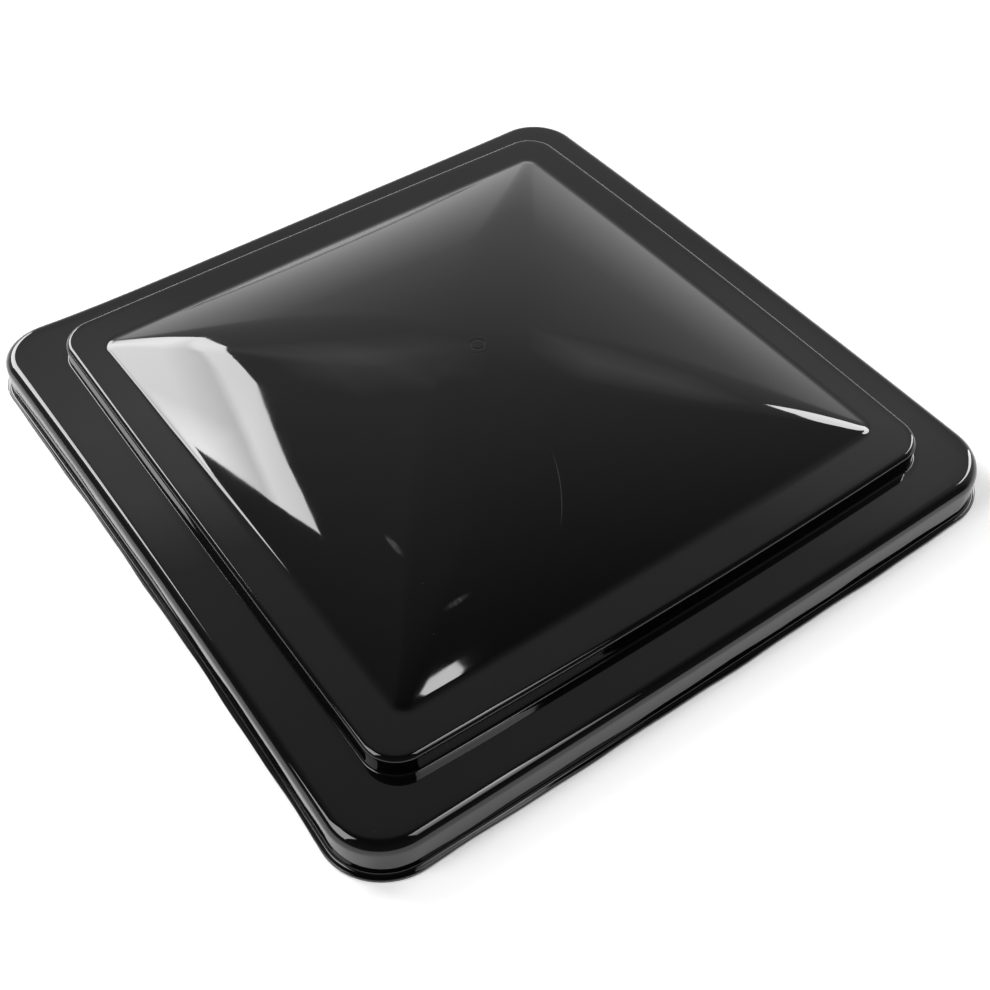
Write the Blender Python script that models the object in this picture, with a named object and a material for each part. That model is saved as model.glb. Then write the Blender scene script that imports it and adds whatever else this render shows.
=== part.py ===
"""Roof vent cover: moulded lid, seal, two rear hinges, lift track and sliding arm shoe.

Frame: origin at the middle of the lid's resting plane, +Z up, hinge side at +Y.
All lengths in metres.
"""
import math

import bmesh
import bpy
from mathutils import Vector

MM = 0.001

# Lid, outside
SKIRT_X = 200.4 * MM
SKIRT_Y = 202.9 * MM
SKIRT_DRAFT = 0.3 * MM
SKIRT_CORNER = 30.5 * MM
SKIRT_COVE = 1.4 * MM
LIP_REACH = 3.0 * MM
LIP_THICK = 2.4 * MM
LIP_ROUND_BELOW = 0.5 * MM
LIP_ROUND_ABOVE = 0.7 * MM
LEDGE_Z = 24.0 * MM
LEDGE_FILLET = 6.2 * MM
STEP_X = 169.8 * MM
STEP_Y = 174.3 * MM
STEP_CORNER = 18.0 * MM
STEP_FILLET = 3.0 * MM
STEP_FILLET_START = 8.0
STEP_BOW = 1.8 * MM
STEP_COVE = 1.3 * MM
STEP_FOOT = 1.5 * MM
BEAD_REACH = 1.05 * MM
BEAD_ROUND = 0.5 * MM
BEAD_HEIGHT = 5.6 * MM
UPPER_WALL_REACH = 0.35 * MM
UPPER_WALL_HEIGHT = 6.3 * MM
PLATFORM_Z = 36.0 * MM
FOOT_X = 151.2 * MM
FOOT_Y = 152.8 * MM
FOOT_CORNER = 9.0 * MM
COVE_WIDTH = 3.2 * MM
COVE_STARTS = 0.12
COVE_ENDS = 0.36
DOME_BOW = 1.0 * MM
DOME_TOP_Z = 66.0 * MM
APEX_SOFTNESS = 0.10
DOME_POWER = 1.9
DOME_BULGE = 14.0 * MM
HIP_POWER = 1.6

# Lid, inside
WALL = 2.3 * MM
INNER_FOOT_INSET = 4.2 * MM
INNER_FOOT_RISE = 0.4 * MM
INNER_COVE_INSET = 1.2 * MM
INNER_STEP_ROUND = 1.2 * MM
INNER_LEDGE_ROUND = 0.8 * MM
EDGE_CHAMFER = 0.5 * MM
EDGE_CHAMFER_TOP = 1.0 * MM

# How finely each contour of the lid is divided
CORNER_STEPS = 8
SIDE_STEPS = 8
DOME_RINGS_OUTSIDE = 13
DOME_RINGS_INSIDE = 10
COVE_RINGS = 3

# Seal under the ledge
SEAL_INNER = 174.8 * MM
SEAL_OUTER = 186.0 * MM
SEAL_HEIGHT = 5.0 * MM
SEAL_CORNER = 12.0 * MM
SEAL_ROUND = 0.8 * MM
GAP = 0.3 * MM

# Track across the middle, front to rear
TRACK_LENGTH = 338.0 * MM
CHANNEL_LENGTH = 296.0 * MM
TRACK_WIDTH = 24.0 * MM
TRACK_HEIGHT = 10.0 * MM
TRACK_TOP_Z = 27.7 * MM
SHEET = 1.2 * MM
TRACK_LIP = 5.0 * MM
TRACK_TAPER = 3.0 * MM
TRACK_OVERLAP = 1.0 * MM
STOP_TAB_GAP_BELOW = 3.0 * MM
FOOT_WIDTH = 32.0 * MM
FOOT_START = 152.0 * MM
SCREW_X = 10.0 * MM
SCREW_Y = 161.0 * MM
BOSS_RADIUS = 4.6 * MM
BOSS_HOLE = 1.65 * MM
BOSS_BOTTOM_Z = 28.0 * MM
BOSS_TOP_Z = 34.2 * MM
BOSS_FLOOR = 0.8 * MM
SCREW_RADIUS = 1.5 * MM
SCREW_CLEAR = 1.9 * MM
SCREW_HEAD_RADIUS = 3.3 * MM
SCREW_HEAD_HEIGHT = 2.0 * MM
SCREW_LENGTH = 6.0 * MM
DRIVE_WIDTH = 1.0 * MM
DRIVE_SPAN = 3.6 * MM
DRIVE_DEPTH = 1.0 * MM

# Shoe that runs in the track
SHOE_PLAY = 0.4 * MM
SHOE_LENGTH = 26.0 * MM
SHOE_HEAD_HEIGHT = 6.8 * MM
SHOE_CHAMFER = 2.0 * MM
LUG_LENGTH = 15.0 * MM
LUG_BOTTOM_Z = 6.5 * MM
ARM_PIN_Z = 11.5 * MM
ARM_PIN_RADIUS = 2.0 * MM
ARM_PIN_REACH = 9.5 * MM
ARM_PIN_HEAD_RADIUS = 3.4 * MM
ARM_PIN_HEAD = 1.4 * MM
ARM_PIN_BREAK = 0.4 * MM
ARM_PIN_TIP = 0.6 * MM
ARM_HOLE_RADIUS = 2.2 * MM
CLIP_RADIUS = 4.2 * MM
CLIP_THICK = 0.8 * MM
CLIP_X = 7.9 * MM
CLIP_HOLE = 2.15 * MM
CLIP_SLOTS = 6
CLIP_NOTCH = 0.9 * MM

# Two rear hinges
HINGE_X = 110.0 * MM
HINGE_WIDTH = 60.0 * MM
HINGE_SEGMENTS = 5
SEGMENT_GAP = 0.4 * MM
HINGE_AXIS_Y = 197.4 * MM
HINGE_AXIS_Z = 3.8 * MM
KNUCKLE_RADIUS = 2.8 * MM
KNUCKLE_HOLE = 1.42 * MM
HINGE_PIN_RADIUS = 1.25 * MM
HINGE_PIN_CAP = 1.9 * MM
HINGE_PIN_CAP_LENGTH = 0.8 * MM
HINGE_PIN_CAP_BREAK = 0.3 * MM
LEAF_TRIM = 2.5 * MM
LEAF_OVERLAP = 0.6 * MM
LEAF_INSET = 0.2 * MM
TINY = 0.01 * MM
LEAF_CLEAR = 3.4 * MM
LID_LEAF_TOP_Z = 18.4 * MM
BASE_LEAF_REACH = 13.0 * MM
BASE_LEAF_HOLE = 2.2 * MM
BASE_LEAF_HOLE_X = 19.0 * MM
BASE_LEAF_HOLE_REACH = 8.0 * MM
RIVET_X = 19.0 * MM
RIVET_Z = 12.4 * MM
RIVET_RADIUS = 2.0 * MM
RIVET_HOLE = 2.3 * MM
RIVET_HEAD_RADIUS = 4.0 * MM
RIVET_HEAD = 1.3 * MM
RIVET_TAIL_RADIUS = 3.1 * MM
RIVET_TAIL = 1.2 * MM

ROUND_SIDES = 24
CORNERS = ((1, 1, 0.0), (-1, 1, 90.0), (-1, -1, 180.0), (1, -1, 270.0))
SHARP_ANGLE = math.radians(35.0)
LID_SHARP_ANGLE = math.radians(40.0)


def clear_scene():
    """Start from nothing."""
    for item in list(bpy.data.objects):
        bpy.data.objects.remove(item, do_unlink=True)


def make_material(name, color, roughness, metallic=0.0, coat=0.0):
    """A Principled material."""
    material = bpy.data.materials.new(name)
    material.use_nodes = True
    shader = material.node_tree.nodes["Principled BSDF"]
    shader.inputs["Base Color"].default_value = (*color, 1.0)
    shader.inputs["Roughness"].default_value = roughness
    shader.inputs["Metallic"].default_value = metallic
    shader.inputs["Coat Weight"].default_value = coat
    material.diffuse_color = (*color, 1.0)
    return material


def add_object(name, bm, material, smooth_angle=None):
    """Turn a bmesh into a named object."""
    bmesh.ops.recalc_face_normals(bm, faces=bm.faces[:])
    mesh = bpy.data.meshes.new(name)
    bm.to_mesh(mesh)
    bm.free()
    item = bpy.data.objects.new(name, mesh)
    bpy.context.scene.collection.objects.link(item)
    item.data.materials.append(material)
    if smooth_angle is not None:
        mesh.shade_smooth()
        mesh.set_sharp_from_angle(angle=smooth_angle)
    return item


def set_origin(item, point):
    """Put the object's origin at a world point without moving its shape."""
    shift = Vector(point) - item.location
    for vertex in item.data.vertices:
        vertex.co -= shift
    item.location = point


def boolean(item, other, operation):
    """Join or cut with a second object and drop that object."""
    modifier = item.modifiers.new("solid", "BOOLEAN")
    modifier.operation = operation
    modifier.solver = "EXACT"
    modifier.object = other
    graph = bpy.context.evaluated_depsgraph_get()
    result = bpy.data.meshes.new_from_object(item.evaluated_get(graph))
    item.modifiers.clear()
    old = item.data
    item.data = result
    result.name = item.name
    bpy.data.meshes.remove(old)
    bpy.data.objects.remove(other, do_unlink=True)


def contour(half_x, half_y, radius, z, bow=0.0):
    """Points of a rounded rectangle, its sides bowed out by bow."""
    points = []
    for index, (sx, sy, start) in enumerate(CORNERS):
        for step in range(CORNER_STEPS + 1):
            angle = math.radians(start + 90.0 * step / CORNER_STEPS)
            x = sx * (half_x - radius) + radius * math.cos(angle)
            y = sy * (half_y - radius) + radius * math.sin(angle)
            points.append([x, y, z])
        next_sx, next_sy, next_start = CORNERS[(index + 1) % len(CORNERS)]
        angle = math.radians(next_start)
        end_x = next_sx * (half_x - radius) + radius * math.cos(angle)
        end_y = next_sy * (half_y - radius) + radius * math.sin(angle)
        begin_x, begin_y, _ = points[-1]
        for step in range(1, SIDE_STEPS):
            t = step / SIDE_STEPS
            x = begin_x + (end_x - begin_x) * t
            y = begin_y + (end_y - begin_y) * t
            points.append([x, y, z])
    for point in points:
        across_x = bow * (1.0 - (point[1] / half_y) ** 2)
        across_y = bow * (1.0 - (point[0] / half_x) ** 2)
        point[0] += across_x * point[0] / half_x
        point[1] += across_y * point[1] / half_y
    return points


def dome_height(s):
    """Share of the dome's rise at plan scale s, 1 at its foot and 0 at its top."""
    flat = APEX_SOFTNESS**DOME_POWER
    full = math.hypot(1.0, APEX_SOFTNESS) ** DOME_POWER - flat
    return 1.0 - (math.hypot(s, APEX_SOFTNESS) ** DOME_POWER - flat) / full


def cove_height(inward):
    """Rise of the cove at the dome's foot, inward from its outer edge."""
    return COVE_STARTS * inward + (COVE_ENDS - COVE_STARTS) * inward**2 / (2.0 * COVE_WIDTH)


def dome_contours(half_x, half_y, base_z, top_z, rings):
    """Contours up the dome, square at the foot and round at the top."""
    result = []
    foot_share = (FOOT_CORNER - COVE_WIDTH) / half_x
    for index in range(rings):
        s = 1.0 - index / rings
        share = foot_share + (1.0 - foot_share) * (1.0 - s) ** HIP_POWER
        radius = share * s * min(half_x, half_y)
        z = base_z + (top_z - base_z) * dome_height(s)
        bulge = DOME_BOW * s + DOME_BULGE * s * (1.0 - s)
        result.append(contour(half_x * s, half_y * s, radius, z, bulge))
    return result


def side(offset, z):
    """Contour that follows the skirt."""
    return contour(SKIRT_X + offset, SKIRT_Y + offset, SKIRT_CORNER + offset, z)


def step_side(offset, z):
    """Contour that follows the raised step."""
    return contour(STEP_X + offset, STEP_Y + offset, STEP_CORNER + offset, z, STEP_BOW)


def foot_side(offset, z):
    """Contour that follows the foot of the dome."""
    return contour(FOOT_X + offset, FOOT_Y + offset, FOOT_CORNER + offset, z, DOME_BOW)


def arc(make, start, end, centre_offset, centre_z, radius, steps):
    """Contours round a fillet, angles in degrees from straight out."""
    result = []
    for index in range(steps + 1):
        angle = math.radians(start + (end - start) * index / steps)
        offset = centre_offset + radius * math.cos(angle)
        result.append(make(offset, centre_z + radius * math.sin(angle)))
    return result


def lid_outside():
    """Contours of the lid's outer surface, lip to dome."""
    below = LIP_ROUND_BELOW
    above = LIP_ROUND_ABOVE
    rings = arc(side, -90.0, 0.0, LIP_REACH - below, below, below, 1)
    rings += arc(side, 0.0, 90.0, LIP_REACH - above, LIP_THICK - above, above, 2)
    rings += arc(side, 270.0, 180.0, SKIRT_DRAFT + SKIRT_COVE, LIP_THICK + SKIRT_COVE, SKIRT_COVE, 2)
    rings += arc(side, 0.0, 90.0, -LEDGE_FILLET, LEDGE_Z - LEDGE_FILLET, LEDGE_FILLET, 5)
    rings += arc(step_side, 270.0, 180.0, STEP_FOOT + STEP_COVE, LEDGE_Z + STEP_COVE, STEP_COVE, 2)
    rings += arc(step_side, 0.0, 80.0, BEAD_REACH - BEAD_ROUND, LEDGE_Z + BEAD_HEIGHT, BEAD_ROUND, 1)
    rings.append(step_side(UPPER_WALL_REACH, LEDGE_Z + UPPER_WALL_HEIGHT))
    rings += arc(step_side, STEP_FILLET_START, 90.0, -STEP_FILLET, PLATFORM_Z - STEP_FILLET, STEP_FILLET, 4)
    for index in range(COVE_RINGS):
        inward = COVE_WIDTH * index / COVE_RINGS
        rings.append(foot_side(-inward, PLATFORM_Z + cove_height(inward)))
    foot_z = PLATFORM_Z + cove_height(COVE_WIDTH)
    rings += dome_contours(FOOT_X - COVE_WIDTH, FOOT_Y - COVE_WIDTH, foot_z, DOME_TOP_Z, DOME_RINGS_OUTSIDE)
    return rings


def lid_inside():
    """Contours of the lid's inner surface, dome to bottom edge."""
    ledge_under = LEDGE_Z - WALL
    platform_under = PLATFORM_Z - WALL
    inset = INNER_FOOT_INSET
    foot_z = platform_under + INNER_FOOT_RISE
    dome = dome_contours(FOOT_X - inset, FOOT_Y - inset, foot_z, DOME_TOP_Z - WALL, DOME_RINGS_INSIDE)
    rings = list(reversed(dome))
    rings.append(foot_side(-INNER_COVE_INSET, platform_under))
    turn = INNER_STEP_ROUND
    rings += arc(step_side, 90.0, 0.0, -WALL - turn, platform_under - turn, turn, 2)
    turn = INNER_LEDGE_ROUND
    rings += arc(step_side, 180.0, 270.0, -WALL + turn, ledge_under + turn, turn, 1)
    turn = LEDGE_FILLET - WALL
    rings += arc(side, 90.0, 0.0, -WALL - turn, ledge_under - turn, turn, 3)
    rings.append(side(-WALL + SKIRT_DRAFT, EDGE_CHAMFER_TOP))
    rings.append(side(-WALL + SKIRT_DRAFT + EDGE_CHAMFER, 0.0))
    return rings


def build_shell_mesh():
    """Loft all contours into one closed wall."""
    bm = bmesh.new()
    outside = lid_outside()
    inside = lid_inside()
    rows = []
    for ring in outside:
        rows.append([bm.verts.new(point) for point in ring])
    top = bm.verts.new((0.0, 0.0, DOME_TOP_Z))
    under = bm.verts.new((0.0, 0.0, DOME_TOP_Z - WALL))
    inner_rows = []
    for ring in inside:
        inner_rows.append([bm.verts.new(point) for point in ring])
    count = len(outside[0])

    def bridge(row_a, row_b):
        for index in range(count):
            after = (index + 1) % count
            bm.faces.new((row_a[index], row_a[after], row_b[after], row_b[index]))

    for row_a, row_b in zip(rows, rows[1:]):
        bridge(row_a, row_b)
    for index in range(count):
        bm.faces.new((rows[-1][index], rows[-1][(index + 1) % count], top))
        bm.faces.new((inner_rows[0][(index + 1) % count], inner_rows[0][index], under))
    for row_a, row_b in zip(inner_rows, inner_rows[1:]):
        bridge(row_a, row_b)
    bridge(inner_rows[-1], rows[0])
    return bm


def along(axis, u, v, w):
    """World point from two coordinates across an axis and one along it."""
    if axis == "X":
        return (w, u, v)
    if axis == "Y":
        return (u, w, v)
    return (u, v, w)


def prism(outline, axis, low, high):
    """A closed prism: an outline across the axis, extended from low to high."""
    bm = bmesh.new()
    first = [bm.verts.new(along(axis, u, v, low)) for u, v in outline]
    last = [bm.verts.new(along(axis, u, v, high)) for u, v in outline]
    bm.faces.new(first)
    bm.faces.new(last)
    count = len(outline)
    for index in range(count):
        after = (index + 1) % count
        bm.faces.new((first[index], first[after], last[after], last[index]))
    return bm


def box(low, high):
    """A closed box between two corners."""
    outline = ((low[0], low[1]), (high[0], low[1]), (high[0], high[1]), (low[0], high[1]))
    return prism(outline, "Z", low[2], high[2])


def lathe(profile, axis, centre, sides=ROUND_SIDES):
    """A closed turned body: (radius, height) pairs about an axis through centre."""
    bm = bmesh.new()
    rows = []
    for radius, height in profile:
        row = []
        for index in range(sides):
            angle = 2.0 * math.pi * index / sides
            u = centre[0] + radius * math.cos(angle)
            v = centre[1] + radius * math.sin(angle)
            row.append(bm.verts.new(along(axis, u, v, height)))
        rows.append(row)
    for row_a, row_b in zip(rows, rows[1:]):
        for index in range(sides):
            after = (index + 1) % sides
            bm.faces.new((row_a[index], row_a[after], row_b[after], row_b[index]))
    bm.faces.new(rows[0])
    bm.faces.new(rows[-1])
    return bm


def temporary(bm):
    """A helper object for one join or cut."""
    return add_object("helper", bm, bpy.data.materials[0])


def make_lid_shell(material):
    """The moulded lid with its screw bosses and rivet holes."""
    shell = add_object("lid_shell", build_shell_mesh(), material)
    for sx in (-1.0, 1.0):
        for sy in (-1.0, 1.0):
            centre = (sx * SCREW_X, sy * SCREW_Y)
            boss = lathe(((BOSS_RADIUS, BOSS_BOTTOM_Z), (BOSS_RADIUS, BOSS_TOP_Z)), "Z", centre)
            boolean(shell, temporary(boss), "UNION")
            hole_top = BOSS_TOP_Z - BOSS_FLOOR
            hole_low = BOSS_BOTTOM_Z - BOSS_RADIUS
            hole = lathe(((BOSS_HOLE, hole_low), (BOSS_HOLE, hole_top)), "Z", centre)
            boolean(shell, temporary(hole), "DIFFERENCE")
    for x in rivet_positions():
        span = (SKIRT_Y - 2.0 * WALL, SKIRT_Y + WALL)
        hole = lathe(((RIVET_HOLE, span[0]), (RIVET_HOLE, span[1])), "Y", (x, RIVET_Z))
        boolean(shell, temporary(hole), "DIFFERENCE")
    shell.data.shade_smooth()
    shell.data.set_sharp_from_angle(angle=LID_SHARP_ANGLE)
    return shell


def rivet_positions():
    """X of every rivet along the rear skirt."""
    return [side * HINGE_X + offset * RIVET_X for side in (-1, 1) for offset in (-1, 1)]


def make_seal(material):
    """Foam seal that the vent's rim presses into."""
    top = LEDGE_Z - WALL - GAP
    bottom = top - SEAL_HEIGHT
    bm = bmesh.new()
    levels = (
        (SEAL_OUTER, top),
        (SEAL_OUTER, bottom + SEAL_ROUND),
        (SEAL_OUTER - SEAL_ROUND, bottom),
        (SEAL_INNER + SEAL_ROUND, bottom),
        (SEAL_INNER, bottom + SEAL_ROUND),
        (SEAL_INNER, top),
    )
    rows = []
    for half, z in levels:
        radius = SEAL_CORNER + half - SEAL_INNER
        ring = contour(half, half, radius, z)
        rows.append([bm.verts.new(point) for point in ring])
    count = len(rows[0])
    for row_a, row_b in zip(rows, rows[1:] + rows[:1]):
        for index in range(count):
            after = (index + 1) % count
            bm.faces.new((row_a[index], row_a[after], row_b[after], row_b[index]))
    return add_object("seal_gasket", bm, material, SHARP_ANGLE)


def make_track(material):
    """Folded sheet channel, open below, with a foot at each end."""
    half = TRACK_WIDTH / 2.0
    top = TRACK_TOP_Z
    bottom = TRACK_TOP_Z - TRACK_HEIGHT
    outline = (
        (-half, top),
        (-half, bottom),
        (-half + TRACK_LIP + SHEET, bottom),
        (-half + TRACK_LIP + SHEET, bottom + SHEET),
        (-half + SHEET, bottom + SHEET),
        (-half + SHEET, top - SHEET),
        (half - SHEET, top - SHEET),
        (half - SHEET, bottom + SHEET),
        (half - TRACK_LIP - SHEET, bottom + SHEET),
        (half - TRACK_LIP - SHEET, bottom),
        (half, bottom),
        (half, top),
    )
    stop_y = CHANNEL_LENGTH / 2.0
    track = add_object("lift_track", prism(outline, "Y", -stop_y, stop_y), material)
    inner = stop_y - TRACK_OVERLAP
    foot_half = FOOT_WIDTH / 2.0
    reach = TRACK_LENGTH / 2.0
    for sy in (-1.0, 1.0):
        foot = (
            (-half, sy * inner),
            (half, sy * inner),
            (half, sy * (FOOT_START - TRACK_TAPER)),
            (foot_half, sy * FOOT_START),
            (foot_half, sy * (reach - TRACK_TAPER)),
            (foot_half - TRACK_TAPER, sy * reach),
            (TRACK_TAPER - foot_half, sy * reach),
            (-foot_half, sy * (reach - TRACK_TAPER)),
            (-foot_half, sy * FOOT_START),
            (-half, sy * (FOOT_START - TRACK_TAPER)),
        )
        boolean(track, temporary(prism(foot, "Z", top - SHEET, top)), "UNION")
        tab_half = half - SHEET - GAP
        near_y, far_y = sorted((sy * stop_y, sy * (stop_y - SHEET)))
        low = (-tab_half, near_y, bottom + STOP_TAB_GAP_BELOW)
        tab = box(low, (tab_half, far_y, top - SHEET / 2.0))
        boolean(track, temporary(tab), "UNION")
        for sx in (-1.0, 1.0):
            centre = (sx * SCREW_X, sy * SCREW_Y)
            hole = lathe(((SCREW_CLEAR, top - 2.0 * SHEET), (SCREW_CLEAR, top + SHEET)), "Z", centre)
            boolean(track, temporary(hole), "DIFFERENCE")
    return track


def make_track_screw(name, x, y, material):
    """Pan-head screw driven up into a boss."""
    seat = TRACK_TOP_Z - SHEET - GAP
    low = seat - SCREW_HEAD_HEIGHT
    tip = seat + SCREW_LENGTH
    profile = (
        (SCREW_HEAD_RADIUS * 0.62, low),
        (SCREW_HEAD_RADIUS * 0.9, low + SCREW_HEAD_HEIGHT * 0.35),
        (SCREW_HEAD_RADIUS, low + SCREW_HEAD_HEIGHT * 0.75),
        (SCREW_HEAD_RADIUS, seat),
        (SCREW_RADIUS, seat),
        (SCREW_RADIUS, tip - SCREW_RADIUS),
        (SCREW_RADIUS * 0.4, tip),
    )
    screw = add_object(name, lathe(profile, "Z", (x, y)), material)
    wide = DRIVE_SPAN / 2.0
    thin = DRIVE_WIDTH / 2.0
    cross = (
        (-wide, -thin), (-thin, -thin), (-thin, -wide), (thin, -wide), (thin, -thin), (wide, -thin),
        (wide, thin), (thin, thin), (thin, wide), (-thin, wide), (-thin, thin), (-wide, thin),
    )
    outline = [(x + u, y + v) for u, v in cross]
    boolean(screw, temporary(prism(outline, "Z", low - DRIVE_DEPTH, low + DRIVE_DEPTH)), "DIFFERENCE")
    screw.data.shade_smooth()
    screw.data.set_sharp_from_angle(angle=SHARP_ANGLE)
    return screw


def make_shoe(material):
    """Moulded shoe: a head inside the channel and a lug through its slot."""
    inner = TRACK_WIDTH / 2.0 - SHEET
    slot = inner - TRACK_LIP
    head = inner - SHOE_PLAY
    neck = slot - SHOE_PLAY
    floor_z = TRACK_TOP_Z - TRACK_HEIGHT + SHEET + SHOE_PLAY
    head_top = floor_z + SHOE_HEAD_HEIGHT
    half = SHOE_LENGTH / 2.0
    chamfer = SHOE_CHAMFER
    head_outline = (
        (-head + chamfer, -half), (head - chamfer, -half), (head, -half + chamfer),
        (head, half - chamfer), (head - chamfer, half), (-head + chamfer, half),
        (-head, half - chamfer), (-head, -half + chamfer),
    )
    shoe = add_object("slider_shoe", prism(head_outline, "Z", floor_z, head_top), material)
    lug_half = LUG_LENGTH / 2.0
    lug_top = floor_z + SHEET
    outline = [(-lug_half, lug_top), (lug_half, lug_top)]
    centre_z = LUG_BOTTOM_Z + lug_half
    arc_steps = 12
    for index in range(arc_steps + 1):
        angle = math.pi * index / arc_steps
        y = lug_half * math.cos(angle)
        z = centre_z - lug_half * math.sin(angle)
        outline.append((y, z))
    boolean(shoe, temporary(prism(outline, "X", -neck, neck)), "UNION")
    bore = lathe(((ARM_HOLE_RADIUS, -2.0 * neck), (ARM_HOLE_RADIUS, 2.0 * neck)), "X", (0.0, ARM_PIN_Z))
    boolean(shoe, temporary(bore), "DIFFERENCE")
    shoe.data.shade_smooth()
    shoe.data.set_sharp_from_angle(angle=SHARP_ANGLE)
    return shoe


def make_arm_pin(material):
    """Clevis pin for the lift arm, headed at one end."""
    profile = (
        (ARM_PIN_HEAD_RADIUS - ARM_PIN_BREAK, -ARM_PIN_REACH - ARM_PIN_HEAD),
        (ARM_PIN_HEAD_RADIUS, -ARM_PIN_REACH - ARM_PIN_HEAD + ARM_PIN_BREAK),
        (ARM_PIN_HEAD_RADIUS, -ARM_PIN_REACH),
        (ARM_PIN_RADIUS, -ARM_PIN_REACH),
        (ARM_PIN_RADIUS, ARM_PIN_REACH - ARM_PIN_TIP),
        (ARM_PIN_RADIUS - ARM_PIN_TIP, ARM_PIN_REACH),
    )
    bm = lathe(profile, "X", (0.0, ARM_PIN_Z))
    return add_object("arm_pivot_pin", bm, material, SHARP_ANGLE)


def make_clip(material):
    """Push-on retaining clip with notches round its hole."""
    bm = bmesh.new()
    sides = CLIP_SLOTS * 4
    rows = []
    for x in (CLIP_X - CLIP_THICK, CLIP_X):
        outer = []
        inner = []
        for index in range(sides):
            angle = 2.0 * math.pi * index / sides
            notch = CLIP_NOTCH if index % 4 == 0 else 0.0
            y = math.cos(angle)
            z = math.sin(angle)
            outer.append(bm.verts.new((x, CLIP_RADIUS * y, ARM_PIN_Z + CLIP_RADIUS * z)))
            reach = CLIP_HOLE + notch
            inner.append(bm.verts.new((x, reach * y, ARM_PIN_Z + reach * z)))
        rows.append((outer, inner))
    (outer_a, inner_a), (outer_b, inner_b) = rows
    for index in range(sides):
        after = (index + 1) % sides
        bm.faces.new((outer_a[index], outer_a[after], outer_b[after], outer_b[index]))
        bm.faces.new((inner_a[index], inner_a[after], inner_b[after], inner_b[index]))
        bm.faces.new((outer_a[index], outer_a[after], inner_a[after], inner_a[index]))
        bm.faces.new((outer_b[index], outer_b[after], inner_b[after], inner_b[index]))
    return add_object("pin_retaining_clip", bm, material, SHARP_ANGLE)


def segment_span(centre_x, index):
    """X limits of one knuckle segment."""
    width = (HINGE_WIDTH - SEGMENT_GAP * (HINGE_SEGMENTS - 1)) / HINGE_SEGMENTS
    low = centre_x - HINGE_WIDTH / 2.0 + index * (width + SEGMENT_GAP)
    return low, low + width


def knuckle_outline(direction):
    """Curl of a leaf round the pin, its sheet leaving along direction 'up' or 'front'."""
    outline = []
    steps = 20
    for index in range(steps + 1):
        angle = math.radians(-90.0 + 270.0 * index / steps)
        outline.append((KNUCKLE_RADIUS * math.cos(angle), KNUCKLE_RADIUS * math.sin(angle)))
    outline.append((-KNUCKLE_RADIUS + SHEET, 0.0))
    far = LEAF_CLEAR + LEAF_OVERLAP
    outline = [(u, v) for u, v in outline if not (u < -TINY and v < -TINY)]
    outline.append((-LEAF_INSET, -KNUCKLE_RADIUS + SHEET))
    outline.append((-far, -KNUCKLE_RADIUS + SHEET))
    outline.append((-far, -KNUCKLE_RADIUS))
    points = []
    for u, v in outline:
        if direction == "front":
            points.append((HINGE_AXIS_Y + u, HINGE_AXIS_Z + v))
        else:
            points.append((HINGE_AXIS_Y - v, HINGE_AXIS_Z - u))
    return points


def cut_pin_bore(leaf, centre_x):
    """Bore the knuckles for the pin."""
    low = centre_x - HINGE_WIDTH
    high = centre_x + HINGE_WIDTH
    bore = lathe(((KNUCKLE_HOLE, low), (KNUCKLE_HOLE, high)), "X", (HINGE_AXIS_Y, HINGE_AXIS_Z))
    boolean(leaf, temporary(bore), "DIFFERENCE")
    leaf.data.shade_smooth()
    leaf.data.set_sharp_from_angle(angle=SHARP_ANGLE)


def make_lid_leaf(name, centre_x, material):
    """Hinge leaf against the inside of the rear skirt."""
    half = HINGE_WIDTH / 2.0
    face_y = HINGE_AXIS_Y + KNUCKLE_RADIUS
    low_z = HINGE_AXIS_Z + LEAF_CLEAR
    trim = LEAF_TRIM
    outline = (
        (centre_x - half, low_z),
        (centre_x + half, low_z),
        (centre_x + half, LID_LEAF_TOP_Z - trim),
        (centre_x + half - trim, LID_LEAF_TOP_Z),
        (centre_x - half + trim, LID_LEAF_TOP_Z),
        (centre_x - half, LID_LEAF_TOP_Z - trim),
    )
    leaf = add_object(name, prism(outline, "Y", face_y - SHEET, face_y), material)
    for index in range(0, HINGE_SEGMENTS, 2):
        low, high = segment_span(centre_x, index)
        boolean(leaf, temporary(prism(knuckle_outline("up"), "X", low, high)), "UNION")
    for offset in (-RIVET_X, RIVET_X):
        span = (face_y - 2.0 * SHEET, face_y + SHEET)
        hole = lathe(((RIVET_HOLE, span[0]), (RIVET_HOLE, span[1])), "Y", (centre_x + offset, RIVET_Z))
        boolean(leaf, temporary(hole), "DIFFERENCE")
    cut_pin_bore(leaf, centre_x)
    return leaf


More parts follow.
